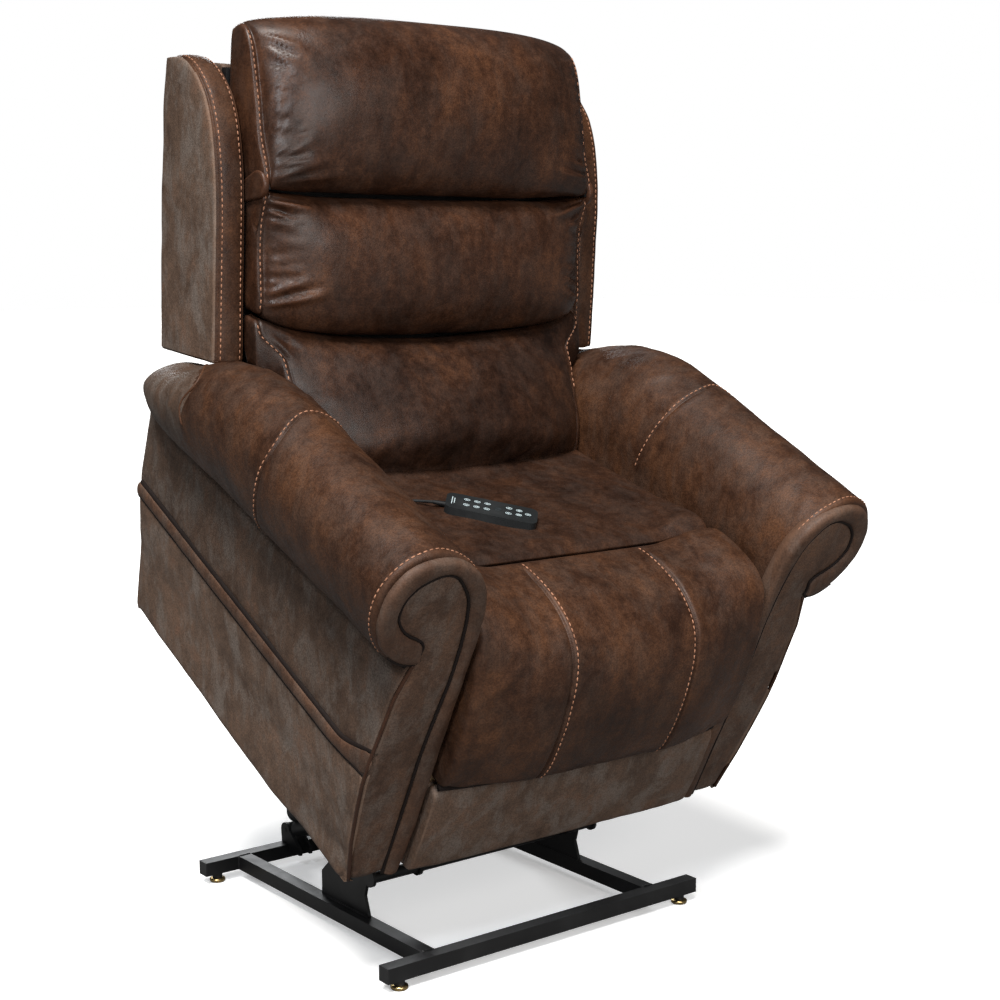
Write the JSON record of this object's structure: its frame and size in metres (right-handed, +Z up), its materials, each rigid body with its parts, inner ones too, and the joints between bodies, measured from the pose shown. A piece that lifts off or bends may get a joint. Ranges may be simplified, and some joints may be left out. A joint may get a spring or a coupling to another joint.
{
  "type": "lift recliner chair",
  "caption": "Upholstered rolled-arm power lift recliner on a tilting steel base, shown raised, with handset, split back cushions and footrest.",
  "frame": {"origin": "floor level under the middle of the raised chair's bounding box", "axes": "+X to the sitter's left, +Y to the chair's back, +Z up; the chair faces -Y"},
  "size_m": [1.0078, 0.922, 1.5399],
  "materials": {
    "base_steel": "satin black powder coat",
    "linkage_steel": "satin black",
    "black_plastic": "matte black",
    "collar_black": "matte black",
    "glide_brass": "brushed",
    "rod_steel": "ground",
    "spring_steel": "oiled",
    "frame_wood": "raw plywood",
    "back_steel": "black",
    "leather": "distressed dark brown",
    "leather_panel": "distressed dark brown, greyer",
    "handset_black": "satin charcoal",
    "key_rubber": "matte",
    "cord_black": "matte"
  },
  "bodies": {
    "root": {"base_front_bar": "base_steel", "base_rear_bar": "base_steel", "base_side_rails": "base_steel", "base_end_caps": "black_plastic", "levelling_glides": "glide_brass", "glide_collars": "collar_black", "lift_brackets": "base_steel", "lift_actuator_bracket": "base_steel"},
    "lift_arm": {"lift_arms": "linkage_steel", "torque_tube": "linkage_steel"},
    "rear_link": {"rear_links": "linkage_steel"},
    "lift_actuator": {"lift_actuator": "black_plastic"},
    "lift_actuator_rod": {"lift_actuator_rod": "rod_steel"},
    "chair_body": {"lift_frame": "base_steel", "lift_cross_tubes": "base_steel", "actuator_cross_tube": "base_steel", "seat_box_members": "frame_wood", "seat_springs": "spring_steel", "seat_cushion": "leather", "arm_cores": "frame_wood", "arm_roll_left": "leather", "arm_roll_right": "leather", "arm_front_left": "leather_panel", "arm_front_right": "leather_panel", "side_panel_upper_left": "leather_panel", "side_panel_upper_right": "leather_panel", "side_panel_lower_left": "leather_panel", "side_panel_lower_right": "leather_panel", "rear_panel": "leather_panel", "control_box": "black_plastic", "handset_base": "handset_black", "handset_top": "handset_black", "handset_strain_relief": "cord_black", "handset_cord": "cord_black", "cord_grommet": "black_plastic"},
    "backrest": {"back_frame": "back_steel", "back_shell": "leather_panel", "back_wing_left": "leather", "back_wing_right": "leather", "lumbar_cushion": "leather", "middle_cushion": "leather"},
    "pillow": {"head_pillow": "leather", "pillow_brackets": "back_steel"},
    "footrest": {"footrest_board": "frame_wood", "front_roll": "leather", "footrest_lower_pad": "leather_panel"},
    "recline_actuator": {"recline_actuator": "black_plastic"},
    "recline_actuator_rod": {"recline_actuator_rod": "rod_steel"},
    "key_01": {"handset_key_01": "key_rubber"},
    "key_02": {"handset_key_02": "key_rubber"},
    "key_03": {"handset_key_03": "key_rubber"},
    "key_04": {"handset_key_04": "key_rubber"},
    "key_05": {"handset_key_05": "key_rubber"},
    "key_06": {"handset_key_06": "key_rubber"},
    "key_07": {"handset_key_07": "key_rubber"},
    "key_08": {"handset_key_08": "key_rubber"},
    "key_09": {"handset_key_09": "key_rubber"},
    "key_10": {"handset_key_10": "key_rubber"},
    "key_11": {"handset_key_11": "key_rubber"}
  },
  "joints": [
    {"name": "lift", "type": "hinge", "parent": "root", "child": "lift_arm", "pos_m": [0, 0.008, 0.1595], "axis": [1, 0, 0], "range_deg": [-76.97, 0]},
    {"name": "chair_pivot", "type": "hinge", "parent": "lift_arm", "child": "chair_body", "pos_m": [0, 0.14519, 0.39233], "axis": [1, 0, 0], "range_deg": [0, 51]},
    {"name": "rear_link_pivot", "type": "hinge", "parent": "root", "child": "rear_link", "pos_m": [0, 0.0808, 0.1778], "axis": [1, 0, 0], "range_deg": [-68.5, 0]},
    {"name": "lift_actuator_pivot", "type": "hinge", "parent": "root", "child": "lift_actuator", "pos_m": [0, 0.4188, 0.067], "axis": [1, 0, 0], "range_deg": [-4.51, 0]},
    {"name": "lift_actuator_stroke", "type": "slide", "parent": "lift_actuator", "child": "lift_actuator_rod", "axis": [0, -0.9557, 0.2945], "range_m": [-0.06788, 0]},
    {"name": "recline", "type": "hinge", "parent": "chair_body", "child": "backrest", "pos_m": [0, 0.28178, 0.79829], "axis": [-1, 0, 0], "range_deg": [0, 50]},
    {"name": "recline_actuator_pivot", "type": "hinge", "parent": "chair_body", "child": "recline_actuator", "pos_m": [0, 0.10991, 0.58052], "axis": [1, 0, 0], "range_deg": [0, 1.66]},
    {"name": "recline_actuator_stroke", "type": "slide", "parent": "recline_actuator", "child": "recline_actuator_rod", "axis": [0, 0.7926, 0.6098], "range_m": [-0.06083, 0]},
    {"name": "pillow_tilt", "type": "hinge", "parent": "backrest", "child": "pillow", "pos_m": [0, 0.1259, 1.26046], "axis": [1, 0, 0], "range_deg": [0, 25]},
    {"name": "footrest", "type": "hinge", "parent": "chair_body", "child": "footrest", "pos_m": [0, -0.30385, 0.53132], "axis": [-1, 0, 0], "range_deg": [0, 88]},
    {"name": "key_01", "type": "slide", "parent": "chair_body", "child": "key_01", "axis": [0, 0.3107, -0.9505], "range_m": [0, 0.001], "stiffness_N_per_m": 300},
    {"name": "key_02", "type": "slide", "parent": "chair_body", "child": "key_02", "axis": [0, 0.3107, -0.9505], "range_m": [0, 0.001], "stiffness_N_per_m": 300},
    {"name": "key_03", "type": "slide", "parent": "chair_body", "child": "key_03", "axis": [0, 0.3107, -0.9505], "range_m": [0, 0.001], "stiffness_N_per_m": 300},
    {"name": "key_04", "type": "slide", "parent": "chair_body", "child": "key_04", "axis": [0, 0.3107, -0.9505], "range_m": [0, 0.001], "stiffness_N_per_m": 300},
    {"name": "key_05", "type": "slide", "parent": "chair_body", "child": "key_05", "axis": [0, 0.3107, -0.9505], "range_m": [0, 0.001], "stiffness_N_per_m": 300},
    {"name": "key_06", "type": "slide", "parent": "chair_body", "child": "key_06", "axis": [0, 0.3107, -0.9505], "range_m": [0, 0.001], "stiffness_N_per_m": 300},
    {"name": "key_07", "type": "slide", "parent": "chair_body", "child": "key_07", "axis": [0, 0.3107, -0.9505], "range_m": [0, 0.001], "stiffness_N_per_m": 300},
    {"name": "key_08", "type": "slide", "parent": "chair_body", "child": "key_08", "axis": [0, 0.3107, -0.9505], "range_m": [0, 0.001], "stiffness_N_per_m": 300},
    {"name": "key_09", "type": "slide", "parent": "chair_body", "child": "key_09", "axis": [0, 0.3107, -0.9505], "range_m": [0, 0.001], "stiffness_N_per_m": 300},
    {"name": "key_10", "type": "slide", "parent": "chair_body", "child": "key_10", "axis": [0, 0.3107, -0.9505], "range_m": [0, 0.001], "stiffness_N_per_m": 300},
    {"name": "key_11", "type": "slide", "parent": "chair_body", "child": "key_11", "axis": [0, 0.3107, -0.9505], "range_m": [0, 0.001], "stiffness_N_per_m": 300}
  ],
  "couplings": [
    {"joint": "chair_pivot", "follows": "lift", "ratio": -0.64921},
    {"joint": "rear_link_pivot", "follows": "lift", "ratio": 0.87541},
    {"joint": "lift_actuator_pivot", "follows": "lift", "ratio": 0.0575},
    {"joint": "lift_actuator_stroke", "follows": "lift", "m_per_rad": 0.04954},
    {"joint": "recline_actuator_pivot", "follows": "recline", "ratio": 0.0325},
    {"joint": "recline_actuator_stroke", "follows": "recline", "m_per_rad": -0.06834}
  ]
}
